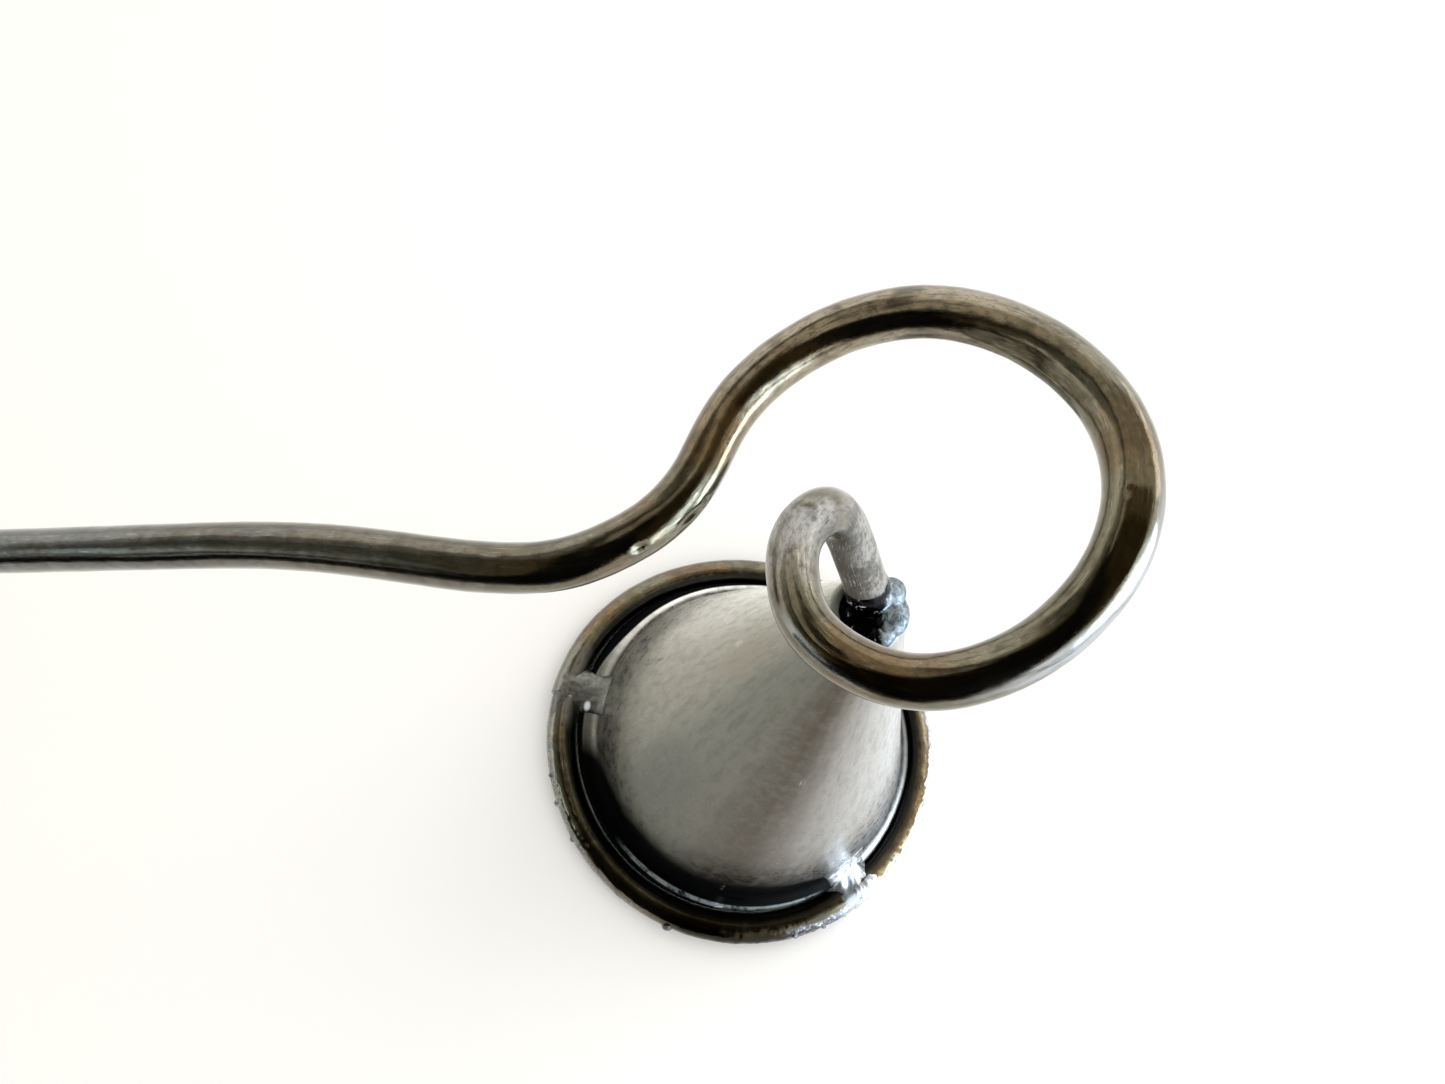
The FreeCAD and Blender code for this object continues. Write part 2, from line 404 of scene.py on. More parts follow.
def make_rod():
    """The bar, in rings of points along its centre line."""
    places, line = rod_line()
    ahead = np.gradient(line, axis=0)
    ahead /= np.linalg.norm(ahead, axis=1)[:, None]
    top = np.array([0, 0, 1.0]) - ahead[:, 2:3] * ahead
    top /= np.linalg.norm(top, axis=1)[:, None]
    side = np.cross(ahead, top)
    angles = np.linspace(0, 2 * math.pi, ROD_SIDES, endpoint=False)
    radius = rod_radius(places, angles)
    out = top[:, None, :] * np.cos(angles)[None, :, None] + side[:, None, :] * np.sin(angles)[None, :, None]
    rings = line[:, None, :] + out * radius[:, :, None]
    skin = rings.reshape(-1, 3)
    normals = out.reshape(-1, 3)
    skin = skin + normals * rough_skin(skin, ROD_SKIN)[:, None]
    rings = skin.reshape(len(places), ROD_SIDES, 3)

    # The far end is domed; the near end is cut square and buried in the weld
    dome = []
    for share in DOME_RINGS:
        tilt = math.asin(share)
        shrunk = line[0] + (rings[0] - line[0]) * share
        dome.append(shrunk - ahead[0] * ROD_RADIUS * math.cos(tilt))
    rings = np.vstack([np.array(dome)[::-1], rings])
    rows = len(rings)
    points = rings.reshape(-1, 3)
    faces = grid_faces(rows, ROD_SIDES)
    uvs = grid_uvs(rows, ROD_SIDES, ROD_STEP, 2 * math.pi * ROD_RADIUS / ROD_SIDES)
    faces += [bar_end(0, ROD_SIDES)[::-1], bar_end((rows - 1) * ROD_SIDES, ROD_SIDES)]
    uvs += [(0.0, 0.0)] * (2 * ROD_SIDES)
    return new_object("rod", points, faces, uvs)


# ---------------------------------------------------------------- the bell

def slope(degrees_from_vertical):
    """Directions in the profile plane (radius, height): down along a wall, and out from it."""
    angle = math.radians(degrees_from_vertical)
    return np.array([math.sin(angle), -math.cos(angle)]), np.array([math.cos(angle), math.sin(angle)])


def bell_profile():
    """The wall's outline as (radius, height) points and how many of them are on the outside."""
    top = np.array([BELL_TOP_RADIUS, BELL_HEIGHT])
    foot = np.array([CONE_FOOT_RADIUS, CONE_FOOT_HEIGHT])
    cone_angle = math.degrees(math.atan2(foot[0] - top[0], top[1] - foot[1]))
    cone_out = slope(cone_angle)[1]
    lip_along, lip_out = slope(LIP_ANGLE)
    centre = foot + cone_out * FLARE_RADIUS
    flare_end = centre - lip_out * FLARE_RADIUS
    edge = flare_end + lip_along * (LIP_RADIUS - flare_end[0]) / lip_along[0]
    turns = np.linspace(cone_angle, LIP_ANGLE, FLARE_ROWS)

    outside = [top + (foot - top) * t for t in np.linspace(0.004, 0.995, CONE_ROWS)]
    outside += [centre - slope(t)[1] * FLARE_RADIUS for t in turns]
    outside += [flare_end + (edge - flare_end) * t for t in (0.35, 0.7)]
    half = SHEET / 2
    middle = edge - lip_out * half - lip_along * half * EDGE_SQUASH
    rolled = [middle + half * (lip_out * math.cos(t) + EDGE_SQUASH * lip_along * math.sin(t))
              for t in np.linspace(0, math.pi, EDGE_ROWS)]
    inside = [centre - slope(t)[1] * (FLARE_RADIUS + SHEET) for t in turns[::-1]]
    foot_under = foot - cone_out * SHEET
    drop = (foot_under[1] - BELL_HEIGHT) / math.cos(math.radians(cone_angle))
    top_under = foot_under + slope(cone_angle)[0] * drop
    inside += [foot_under + (top_under - foot_under) * t for t in np.linspace(0.01, 0.996, INSIDE_ROWS)]
    crown = (top + top_under) / 2 + np.array([0, CROWN])
    return np.array(outside + rolled + inside + [crown]), len(outside) + len(rolled) // 2


def make_bell():
    """The bell, and a list of its faces that says which of them are inside it."""
    profile, outside_count = bell_profile()
    angles = np.linspace(0, 360, BELL_SIDES, endpoint=False)
    radians = np.radians(angles)
    radius = profile[:, 0][:, None]
    height = profile[:, 1][:, None]
    low = np.clip((STRAY_HEIGHT - height) / STRAY_HEIGHT, 0, 1) ** 1.6
    stray = around(LIP_STRAY, angles)[None, :] * low
    near_seam = past(angles[None, :], SEAM_ANGLE)
    lap = LAP_STEP * np.tanh(near_seam / 0.7) * np.exp(-(near_seam / 9) ** 2)
    notch = LIP_STEP * np.tanh(near_seam / 0.5) * np.exp(-(near_seam / 7) ** 2)
    lap = lap - notch * (height < LIP_TOP)
    grown = radius + stray + lap
    # The lip reaches almost to the rim's bar all the way round
    reach = rim_middle(angles) - BAR_AT_LIP - LEAN_FOOT * np.cos(radians) - LIP_GAP
    start = CONE_FOOT_RADIUS + LIP_START
    beyond = np.clip((radius - start) / (LIP_RADIUS - start), 0, 1) ** 1.5
    grown = grown + beyond * (reach[None, :] - LIP_RADIUS - stray - lap)
    lean = LEAN_FOOT + (LEAN_TOP - LEAN_FOOT) * height / BELL_HEIGHT
    x = lean + grown * np.cos(radians)[None, :]
    y = grown * np.sin(radians)[None, :]
    z = np.broadcast_to(height, x.shape)
    points = np.stack([x, y, z], axis=2).reshape(-1, 3)
    outward = np.tile(np.pad(circle(radians), ((0, 0), (0, 1))), (len(profile), 1))
    points = points + outward * rough_skin(points, BELL_SKIN)[:, None]
    rows = len(profile)
    faces = [face[::-1] for face in grid_faces(rows, BELL_SIDES, close_rows=True)]
    inner = [int(outside_count <= index // BELL_SIDES < rows - 2) for index in range(len(faces))]
    return new_object("bell", points, faces), inner


# ---------------------------------------------------------------- the rim

def rim_middle(degrees):
    """The radius of the middle of the rim's bar, from the part's own axis."""
    return RIM_RADIUS + around(RIM_STRAY, degrees) + RIM_OFFSET * np.cos(np.radians(degrees))


def make_rim():
    """The ring of bar, with weld spatter on its outside and its underside flat on the table."""
    span = 360 - RIM_GAP
    turns = RIM_GAP_ANGLE + RIM_GAP / 2 + np.linspace(0, span, RIM_SECTIONS)
    radians = np.radians(turns)
    angles = np.linspace(0, 2 * math.pi, RIM_SIDES, endpoint=False)
    ends = np.minimum(turns - turns[0], turns[-1] - turns)
    mismatch = RIM_MISMATCH * np.sign(turns - turns.mean()) * np.exp(-(ends / MISMATCH_REACH) ** 2)
    middle = RIM_RADIUS + around(RIM_STRAY, turns) + mismatch
    out = np.pad(circle(radians), ((0, 0), (0, 1)))
    centre = out * middle[:, None] + np.array([RIM_OFFSET, 0, RIM_HEIGHT])
    radial = out[:, None, :] * np.cos(angles)[None, :, None]
    upward = np.array([0, 0, 1.0])[None, None, :] * np.sin(angles)[None, :, None]
    normals = (radial + upward).reshape(-1, 3)
    skin = (centre[:, None, :] + (radial + upward) * ROD_RADIUS).reshape(-1, 3)
    spatter = around(SPATTER, turns)
    outer = np.clip(np.cos(angles), 0, 1) ** 0.7
    crust = (spatter[:, None] * outer[None, :]).reshape(-1)
    drops = np.zeros(len(skin))
    for degrees, up, size in DROPS:
        along = np.radians(past(turns, degrees)) * RIM_RADIUS
        across = past(angles, math.radians(up), 2 * math.pi)
        away = (along[:, None] ** 2 + (across[None, :] * ROD_RADIUS) ** 2) / size ** 2
        drop = np.sqrt(np.clip(1 - away, 0, 1)).reshape(-1)
        drops = np.maximum(drops, np.minimum(drop * 2, 1))
        skin = skin + normals * (DROP_RISE * size * drop)[:, None]
    bumps = sum(depth * np.maximum(lumps(skin, size, seed), cut) for depth, size, seed, cut in CRUST_BUMPS)
    skin = skin + normals * (rough_skin(skin, RIM_SKIN) + crust * bumps)[:, None]
    skin[:, 2] = np.maximum(skin[:, 2], 0.0)
    faces = [face[::-1] for face in grid_faces(RIM_SECTIONS, RIM_SIDES)]
    faces += [bar_end(0, RIM_SIDES), bar_end((RIM_SECTIONS - 1) * RIM_SIDES, RIM_SIDES)[::-1]]
    step = RIM_RADIUS * math.radians(span) / RIM_SECTIONS
    uvs = grid_uvs(RIM_SECTIONS, RIM_SIDES, step, 2 * math.pi * ROD_RADIUS / RIM_SIDES)
    uvs = [uvs[k + 3 - c] for k in range(0, len(uvs), 4) for c in range(4)]
    uvs += [(0.0, 0.0)] * (2 * RIM_SIDES)
    piece = new_object("rim", skin, faces, uvs)
    layer = piece.data.attributes.new("drops", "FLOAT", "POINT")
    layer.data.foreach_set("value", drops)
    return piece


# ---------------------------------------------------------------- welds

def blob(name, balls, smoothing, skin, voxel):
    """Overlapping balls of (centre, radii) melted into one lump, with a wrinkled skin."""
    bm = bmesh.new()
    for centre, radii in balls:
        place = Matrix.Translation(Vector(centre)) @ Matrix.Diagonal((*radii, 1))
        bmesh.ops.create_icosphere(bm, subdivisions=3, radius=1, matrix=place)
    mesh = bpy.data.meshes.new(name)
    bm.to_mesh(mesh)
    bm.free()
    piece = add_object(name, mesh)
    melt = piece.modifiers.new("melt", "REMESH")
    melt.mode = "VOXEL"
    melt.voxel_size = voxel
    relax = piece.modifiers.new("relax", "SMOOTH")
    relax.iterations = smoothing
    relax.factor = 0.5
    graph = bpy.context.evaluated_depsgraph_get()
    melted = bpy.data.meshes.new_from_object(piece.evaluated_get(graph))
    piece.modifiers.clear()
    piece.data = melted
    points = np.array([v.co for v in melted.vertices])
    normals = np.array([v.normal for v in melted.vertices])
    points = (points + normals * rough_skin(points, skin)[:, None]) * MM
    points[:, 2] = np.maximum(points[:, 2], 0.0)
    melted.vertices.foreach_set("co", points.reshape(-1))
    melted.polygons.foreach_set("use_smooth", [True] * len(melted.polygons))
    melted.update()
    return piece


def weld_sections(bar, shift, wrap, lip_profile):
    """Where a rim weld lies across the groove, as (radius, height) points: its top, and the metal
    and groove below it. bar is the radius of the rim's middle, shift how far the bell's wall stands
    out there, and wrap how far over the bar the weld goes."""
    start = np.array([WELD_INNER + shift - 0.12, np.interp(WELD_INNER, *lip_profile)])
    middle = np.array([bar, RIM_HEIGHT])
    landing = middle + ROD_RADIUS * circle(math.radians(WELD_LANDING))
    # The bridge is a cubic curve that sags below a straight line
    first_pull = start + np.array([0.75, -1.05])
    last_pull = landing - np.array([1.5, 0.15])
    t = np.linspace(0, 1, WELD_BRIDGE)[:, None]
    bridge = ((1 - t) ** 3 * start + 3 * (1 - t) ** 2 * t * first_pull
              + 3 * (1 - t) * t ** 2 * last_pull + t ** 3 * landing)
    turn = np.radians(np.linspace(WELD_LANDING, 90 - wrap, WELD_ACROSS - WELD_BRIDGE + 1))[1:]
    rise = 0.12 * np.cos(np.linspace(0, math.pi / 2, len(turn))) - 0.03
    top = np.vstack([bridge, middle + (ROD_RADIUS + rise)[:, None] * circle(turn)])

    lip_end = bar - ROD_RADIUS - LIP_GAP
    lip = np.linspace(WELD_INNER + shift, lip_end, 12)
    lip = np.stack([lip, np.interp(lip - shift, *lip_profile) - WELD_SINK], axis=1)
    lip[0] = start
    floor = np.array([[lip_end + WELD_SINK, 1.2], [bar - ROD_RADIUS - WELD_SINK, 1.0]])
    turn = np.radians(np.linspace(195, 90 - wrap, 26))
    under = middle + (ROD_RADIUS - WELD_SINK) * circle(turn)
    under[-1] = top[-1]
    base = np.vstack([lip, floor, under])
    places = np.linspace(0, lengths_along(base)[-1], WELD_ACROSS)
    return top, points_along(base, places)


def make_rim_weld(name, middle, half_width, wrap, ridges, seed):
    """A saddle of weld from the bell's flare, across the groove and over the rim's bar. It is
    narrowest in the groove. Ridges fan out over it from the bell."""
    profile, outside_count = bell_profile()
    outside = profile[:outside_count]
    outside = outside[np.argsort(outside[:, 0])]
    lip_profile = outside[:, 0], outside[:, 1]
    shares = np.linspace(-1, 1, WELD_ALONG)
    across = np.linspace(0, 1, WELD_ACROSS)
    narrowing = 0.36 * np.exp(-((across - 0.25) / 0.28) ** 2)
    waist = 1 - narrowing - 0.45 * np.clip(across - 0.72, 0, 1) ** 1.5
    fullness = (1 - np.abs(shares) ** 2.6) ** 0.55
    grids = {"top": [], "base": []}
    for share, full in zip(shares, fullness):
        at = middle + half_width * share
        shift = LEAN_FOOT * math.cos(math.radians(at)) + 0.5 * float(around(LIP_STRAY, at))
        top, base = weld_sections(float(rim_middle(at)), shift, wrap, lip_profile)
        degrees = middle + half_width * share * waist
        wrinkle = ridges * (1 + np.sin(share * 13 + 1.5 * np.sin(across * 3))) * np.sin(math.pi * across)
        blend = base + (top - base) * full
        blend[:, 1] += wrinkle * full
        for key, section in (("top", blend), ("base", base)):
            flat = section[:, :1] * circle(np.radians(degrees))
            grids[key].append(np.hstack([flat, section[:, 1:]]))
    top = np.array(grids["top"]).reshape(-1, 3)
    inside = np.zeros((WELD_ALONG, WELD_ACROSS))
    inside[1:-1, 1:-1] = 1
    top[:, 2] += rough_skin(top, [(0.05, 1.4, seed), (0.03, 0.6, seed + 1)]) * inside.reshape(-1)
    base = np.array(grids["base"]).reshape(-1, 3)
    faces = []
    for i in range(WELD_ALONG - 1):
        for j in range(WELD_ACROSS - 1):
            a = i * WELD_ACROSS + j
            faces.append((a, a + 1, a + WELD_ACROSS + 1, a + WELD_ACROSS))
    below = [tuple(len(top) + corner for corner in face[::-1]) for face in faces]
    piece = new_object(name, np.vstack([top, base]), faces + below)
    # The top and the base share their outer points, and meet there in a sharp edge
    bm = bmesh.new()
    bm.from_mesh(piece.data)
    bmesh.ops.remove_doubles(bm, verts=bm.verts, dist=0.004 * MM)
    bmesh.ops.recalc_face_normals(bm, faces=bm.faces)
    for edge in bm.edges:
        edge.smooth = edge.calc_face_angle(0) < SHARP_EDGE
    bm.to_mesh(piece.data)
    bm.free()
    return piece


def make_tip_weld():
    """A puddle inside the bell's open top, a sleeve up round the rod's end, and lumps that ran over
    one side."""
    end = np.array(ROD_CORNERS[-1])
    along = end - np.array(ROD_CORNERS[-2])
    along /= np.linalg.norm(along)
    sleeve = [(tuple(end + along * past_end), (TIP_SLEEVE_RADIUS,) * 3) for past_end in TIP_SLEEVE]
    balls = [TIP_PUDDLE] + sleeve + TIP_LUMPS
    return blob("tip_weld_lump", balls, 45, [(0.10, 1.5, 40), (0.012, 0.55, 41)], TIP_VOXEL)


def make_seam_bead():
    """A bead up the inside of the bell, where the rolled sheet's edges meet."""
    angle = math.radians(SEAM_ANGLE)
    balls = []
    for k in range(SEAM_BALLS):
        height = SEAM_LOW + SEAM_RUN * (k / (SEAM_BALLS - 1))
        radius = CONE_FOOT_RADIUS - SHEET - (height - CONE_FOOT_HEIGHT) * WALL_CLIMB
        place = (radius * math.cos(angle), radius * math.sin(angle), height)
        balls.append((place, SEAM_BALL))
    return blob("seam_bead", balls, 2, [(0.05, 1.5, 50), (0.03, 0.55, 51)], WELD_VOXEL)


# ---------------------------------------------------------------- materials

class Shader:
    """Adds nodes to a new material or world, so that each one below reads as a list of steps."""

    def __init__(self, owner):
        owner.use_nodes = True
        self.owner = owner
        self.tree = owner.node_tree
        self.tree.nodes.clear()

    def add(self, kind, inputs=None, **settings):
        node = self.tree.nodes.new("ShaderNode" + kind)
        for name, value in settings.items():
            setattr(node, name, value)
        for name, value in (inputs or {}).items():
            socket = node.inputs[name]
            if isinstance(value, bpy.types.NodeSocket):
                self.tree.links.new(value, socket)
            else:
                socket.default_value = (*value, 1.0) if socket.type == "RGBA" else value
        return node

    def place(self):
        """Where a point is on its piece, in metres."""
        return self.add("TexCoord").outputs["Object"]

    def split(self, vector):
        node = self.add("SeparateXYZ", {"Vector": vector})
        return [node.outputs[axis] for axis in "XYZ"]

    def noise(self, vector, scale, detail=4.0, roughness=0.6, distortion=0.0):
        node = self.add("TexNoise", {"Vector": vector, "Scale": scale, "Detail": detail,
                                     "Roughness": roughness, "Distortion": distortion})
        return node.outputs["Fac"]

    def stretch(self, vector, scale):
        node = self.add("Mapping", {"Vector": vector, "Scale": scale})
        return node.outputs["Vector"]

    def ramp(self, value, low, high, to_low=0.0, to_high=1.0):
        """A smooth step between two values."""
        node = self.add("MapRange", {"Value": value, "From Min": low, "From Max": high,
                                     "To Min": to_low, "To Max": to_high},
                        interpolation_type="SMOOTHSTEP")
        return node.outputs["Result"]

    def mix(self, share, first, second):
        """Two colours mixed. A Mix node's colours are its inputs 6 and 7 and its output 2."""
        node = self.add("Mix", {"Factor": share, 6: first, 7: second}, data_type="RGBA")
        return node.outputs[2]

    def math(self, operation, first, second=0.0):
        return self.add("Math", {0: first, 1: second}, operation=operation).outputs[0]

    def plus(self, first, second):
        return self.math("ADD", first, second)

    def minus(self, first, second):
        return self.math("SUBTRACT", first, second)

    def times(self, first, *others):
        for other in others:
            first = self.math("MULTIPLY", first, other)
        return first

    def waver(self, value, noise, size):
        """The value, strayed by noise that goes from 0 to 1."""
        return self.plus(value, self.times(self.minus(noise, 0.5), size))

    def band(self, value, start, full, fade, end):
        """0 outside start and end, and 1 between full and fade."""
        return self.times(self.ramp(value, start, full), self.ramp(value, fade, end, 1.0, 0.0))

    def vector(self, operation, first, second=(0.0, 0.0, 0.0)):
        return self.add("VectorMath", {0: first, 1: second}, operation=operation).outputs[0]

    def dot(self, first, second):
        node = self.add("VectorMath", {0: first, 1: second}, operation="DOT_PRODUCT")
        return node.outputs["Value"]

    def facing(self, place, degrees):
        """The cosine of the angle round the Z axis between a point and a direction."""
        flat = self.vector("NORMALIZE", self.vector("MULTIPLY", place, (1, 1, 0)))
        angle = math.radians(degrees)
        return self.dot(flat, (math.cos(angle), math.sin(angle), 0))

    def colours(self, value, stops):
        """A colour that changes smoothly through stops of (value, colour)."""
        first, last = stops[0][0], stops[-1][0]
        share = self.add("MapRange", {"Value": value, "From Min": first, "From Max": last}).outputs[0]
        node = self.add("ValToRGB", {"Fac": share})
        node.color_ramp.interpolation = "EASE"
        node.color_ramp.elements.remove(node.color_ramp.elements[1])
        for index, (at, colour) in enumerate(stops):
            place = (at - first) / (last - first)
            stop = node.color_ramp.elements[0] if index == 0 else node.color_ramp.elements.new(place)
            stop.position = place
            stop.color = (*colour, 1.0)
        return node.outputs["Color"]

    def patch(self, place, centre, along, across, half_length, half_width):
        """1 in the middle of a long spot and 0 outside it, sizes in metres."""
        away = self.vector("SUBTRACT", place, tuple(centre))
        squares = []
        for axis, half in ((along, half_length), (across, half_width)):
            part = self.dot(away, tuple(axis / half))
            squares.append(self.times(part, part))
        return self.ramp(self.plus(*squares), 0.1, 1.0, 1.0, 0.0)

    def bump(self, height, strength, distance):
        node = self.add("Bump", {"Height": height, "Strength": strength, "Distance": distance * MM})
        return node.outputs["Normal"]

    def surface(self, tone, rough, **more):
        """Ends a material and returns it. More inputs are named as in Blender, with _ for a space."""
        inputs = {name.replace("_", " "): value for name, value in more.items()}
        shader = self.add("BsdfPrincipled", {"Base Color": tone, "Roughness": rough, **inputs})
        self.add("OutputMaterial", {"Surface": shader.outputs[0]})
        return self.owner


def bar_fields(s):
    """Where a point is along a bar and round it, in millimetres, and the noises its looks share."""
    uv = s.add("UVMap", uv_map="along_around").outputs["UV"]
    place = s.place()
    along, about, _ = s.split(uv)
    return SimpleNamespace(
        place=place, along=along, about=about,
        spread=s.noise(place, 110, 3),
        mottle=s.noise(place, 420, 5, 0.65, 0.4),
        worn=s.ramp(s.noise(place, 150, 3), 0.40, 0.60),
        grain=s.noise(place, 2600, 3, 0.7),
        streaks=s.noise(s.stretch(uv, (0.30, 2.6, 1)), 1.0, 6, 0.65, 0.2),
        pores=s.noise(s.stretch(uv, (1.3, 3.2, 1)), 1.0, 5, 0.7, 0.3),
        hair=s.noise(s.stretch(uv, (0.45, 9.0, 1)), 1.0, 4, 0.75))


def forged_tone(s, f, brown, cool, rubbed):
    """Olive and umber, darker in pores and streaks, with pale hairline scratches."""
    olive = (0.150, 0.134, 0.082)
    umber = (0.150, 0.096, 0.036)
    tone = s.mix(s.ramp(f.spread, 0.62 - brown * 0.3, 0.8 - brown * 0.3), olive, umber)
    if cool:
        slate = s.mix(s.ramp(f.spread, 0.3, 0.7), (0.085, 0.098, 0.10), (0.12, 0.12, 0.105))
        tone = s.mix(s.ramp(f.along, *cool), tone, slate)
    if rubbed:
        start, full, fade, end = rubbed
        pale = s.times(s.ramp(f.along, start, full), s.ramp(f.along, fade, end, 0.65, 0.0))
        tone = s.mix(pale, tone, (0.33, 0.275, 0.190))
    tone = s.mix(s.ramp(f.mottle, 0.46, 0.66, 0.0, 0.6), tone, (0.058, 0.045, 0.024))
    tone = s.mix(s.ramp(f.pores, 0.48, 0.64, 0.0, 0.55), tone, (0.042, 0.034, 0.020))
    dark = s.times(s.ramp(f.streaks, 0.50, 0.62, 0.0, 0.7), f.worn)
    tone = s.mix(dark, tone, (0.035, 0.029, 0.019))
    fleck = s.times(s.ramp(f.hair, 0.57, 0.66), s.ramp(f.mottle, 0.62, 0.44), 0.75)
    return s.mix(fleck, tone, (0.36, 0.34, 0.29))


def add_painted_highlight(s, f, look, along, about):
    """A painted highlight: a pale patch along the bar and round it, where the bar's edge catches the light,
    painted as metal worn through the black.
    """
    painted_highlight = s.times(s.band(f.along, *along), s.band(f.about, *about))
    painted_highlight = s.times(painted_highlight, s.ramp(f.streaks, 0.62, 0.45, 0.3, 0.85))
    look.tone = s.mix(painted_highlight, look.tone, (0.40, 0.43, 0.455))


def add_ash(s, f, look, start, full):
    """Matt grey scale that the heat of welding left on the bar's end, with painted shade across it: darkest
    round the bar at ASH_SHADED_SIDE and pale on the other side, as light falls on it.
    """
    grey = s.times(s.ramp(f.along, start, full), s.ramp(f.spread, 0.28, 0.42))
    # Painted shade: the scale is painted darker on one side round the bar and paler on the other
    shaded_side = s.math("COSINE", s.math("DIVIDE", s.minus(f.about, ASH_SHADED_SIDE), ROD_RADIUS))
    ash_and_shade = s.mix(s.ramp(shaded_side, -0.05, 0.95), (0.50, 0.50, 0.49), (0.075, 0.071, 0.058))
    ash_and_shade = s.mix(s.ramp(f.mottle, 0.47, 0.60, 0.0, 0.6), ash_and_shade, (0.045, 0.040, 0.032))
    ash_and_shade = s.mix(s.ramp(f.pores, 0.46, 0.60, 0.0, 0.5), ash_and_shade, (0.050, 0.045, 0.036))
    ash_and_shade = s.mix(s.ramp(f.hair, 0.57, 0.66, 0.0, 0.8), ash_and_shade, (0.55, 0.55, 0.54))
    look.tone = s.mix(s.times(grey, 0.94), look.tone, ash_and_shade)
    look.rough = s.plus(look.rough, s.times(grey, 0.18))
    look.metal = s.minus(look.metal, s.times(grey, 0.96))
    look.coat = s.minus(look.coat, s.times(grey, 0.57))
    look.gleam = s.minus(look.gleam, s.times(grey, 0.42))


def add_soot_and_shade(s, f, look, *band):
    """A band painted black round part of the bar, all along it: soot, and painted shade and dark reflection
    where the bar faces the bell.
    """
    soot = s.band(s.waver(f.about, f.spread, 0.8), *band)
    look.tone = s.mix(soot, look.tone, (0.003, 0.003, 0.002))
    look.rough = s.plus(look.rough, s.times(soot, 0.25))


def add_crust(s, f, look):
    """The rim's outside: black at the front, greenish at the left, grey where the bar's ends are
    welded, and under spatter at the right, with painted light on the spatter: brighter towards the right,
    where the window lights it, and darker lilac nearer the front."""
    outer = s.math("COSINE", s.math("DIVIDE", f.about, ROD_RADIUS))
    ragged = s.waver(outer, f.mottle, 0.9)
    front = s.times(s.ramp(s.facing(f.place, -82), 0.80, 0.95), 0.92)
    look.tone = s.mix(front, look.tone, (0.010, 0.008, 0.004))
    look.coat = s.minus(look.coat, s.times(front, 0.5))
    left = s.times(s.ramp(s.facing(f.place, -168), 0.80, 0.97), s.ramp(ragged, 0.35, 0.60), 0.55)
    look.tone = s.mix(left, look.tone, (0.30, 0.31, 0.25))
    burnt = s.times(s.ramp(s.facing(f.place, 171), 0.965, 0.99), s.ramp(f.spread, 0.30, 0.5), 0.8)
    look.tone = s.mix(burnt, look.tone, (0.15, 0.15, 0.135))
    strong = s.times(s.ramp(s.facing(f.place, -18), 0.50, 0.82), s.ramp(ragged, 0.42, 0.68))
    faint = s.times(s.ramp(s.facing(f.place, -152), 0.7, 0.95), s.ramp(ragged, 0.72, 0.95), 0.7)
    crust = s.math("MAXIMUM", strong, faint)
    crust = s.math("MAXIMUM", crust, s.add("Attribute", attribute_name="drops").outputs["Fac"])
    # Painted light: the spatter is painted brighter towards the right, the side the window lights, and
    # darker lilac towards the front
    bright = s.mix(s.ramp(f.grain, 0.35, 0.6), (0.30, 0.34, 0.40), (0.80, 0.84, 0.90))
    lilac = s.mix(s.ramp(f.grain, 0.50, 0.66), (0.085, 0.082, 0.095), (0.50, 0.50, 0.54))
    spatter = s.mix(s.ramp(s.facing(f.place, -8), 0.62, 0.82), lilac, bright)
    look.tone = s.mix(crust, look.tone, spatter)
    look.metal = s.minus(look.metal, s.times(crust, 0.45))
    look.rough = s.plus(look.rough, s.times(crust, 0.25))


def blackened_iron(name, brown=0.5, cool=None, rubbed=None, highlight_patches=(), groove=None, ash=None,
                   crusted=False):
    """Forge-blackened round bar, scratched along its length. brown is how much of it is brown, cool
    where along it the tone turns to slate, rubbed where it is worn paler, highlight_patches the patches of
    painted highlight where the bar's edge catches the light, groove where round it the bar is painted black
    for soot and for painted shade, ash where along it welding has greyed it, with painted shade on one
    side, and crusted whether it has the rim's spatter, painted lighter on its lit side."""
    s = Shader(bpy.data.materials.new(name))
    f = bar_fields(s)
    look = SimpleNamespace(tone=forged_tone(s, f, brown, cool, rubbed), metal=1.0, coat=0.6, gleam=0.5,
                           rough=s.ramp(f.streaks, 0.3, 0.75, 0.09, 0.20))
    # Painted highlights: pale patches where the bar's edge catches the light
    for along, about in highlight_patches:
        add_painted_highlight(s, f, look, along, about)
    if ash:
        add_ash(s, f, look, *ash)
    if groove:
        add_soot_and_shade(s, f, look, *groove)
    if crusted:
        add_crust(s, f, look)
    height = s.plus(s.times(f.hair, 0.6), s.times(f.grain, 0.35))
    height = s.plus(height, s.times(f.streaks, f.worn, 0.4))
    return s.surface(look.tone, look.rough, Metallic=look.metal, Normal=s.bump(height, 0.4, 0.04),
                     Specular_IOR_Level=look.gleam, Coat_Weight=look.coat, Coat_Roughness=0.1,
                     Coat_IOR=1.6)


def sheet_fields(s):
    """Where a point is on the bell, in millimetres, and the noises that the sheet's looks share."""
    place = s.place()
    height = s.math("DIVIDE", s.split(place)[2], MM)
    flat = s.vector("MULTIPLY", place, (1, 1, 0))
    length = s.add("VectorMath", {0: flat}, operation="LENGTH").outputs["Value"]
    way = s.vector("NORMALIZE", flat)
    upward = s.add("CombineXYZ", {"Z": s.times(height, 0.02)}).outputs[0]
    lines = s.vector("ADD", way, upward)
    return SimpleNamespace(
        place=place, height=height, radius=s.math("DIVIDE", length, MM),
        cloud=s.noise(place, 70, 4, 0.55, 0.5),
        fine=s.noise(place, 800, 4, 0.6),
        brushed=s.noise(lines, 16, 3, 0.55, 0.3),
        scratch=s.noise(lines, 90, 3, 0.7, 0.1))


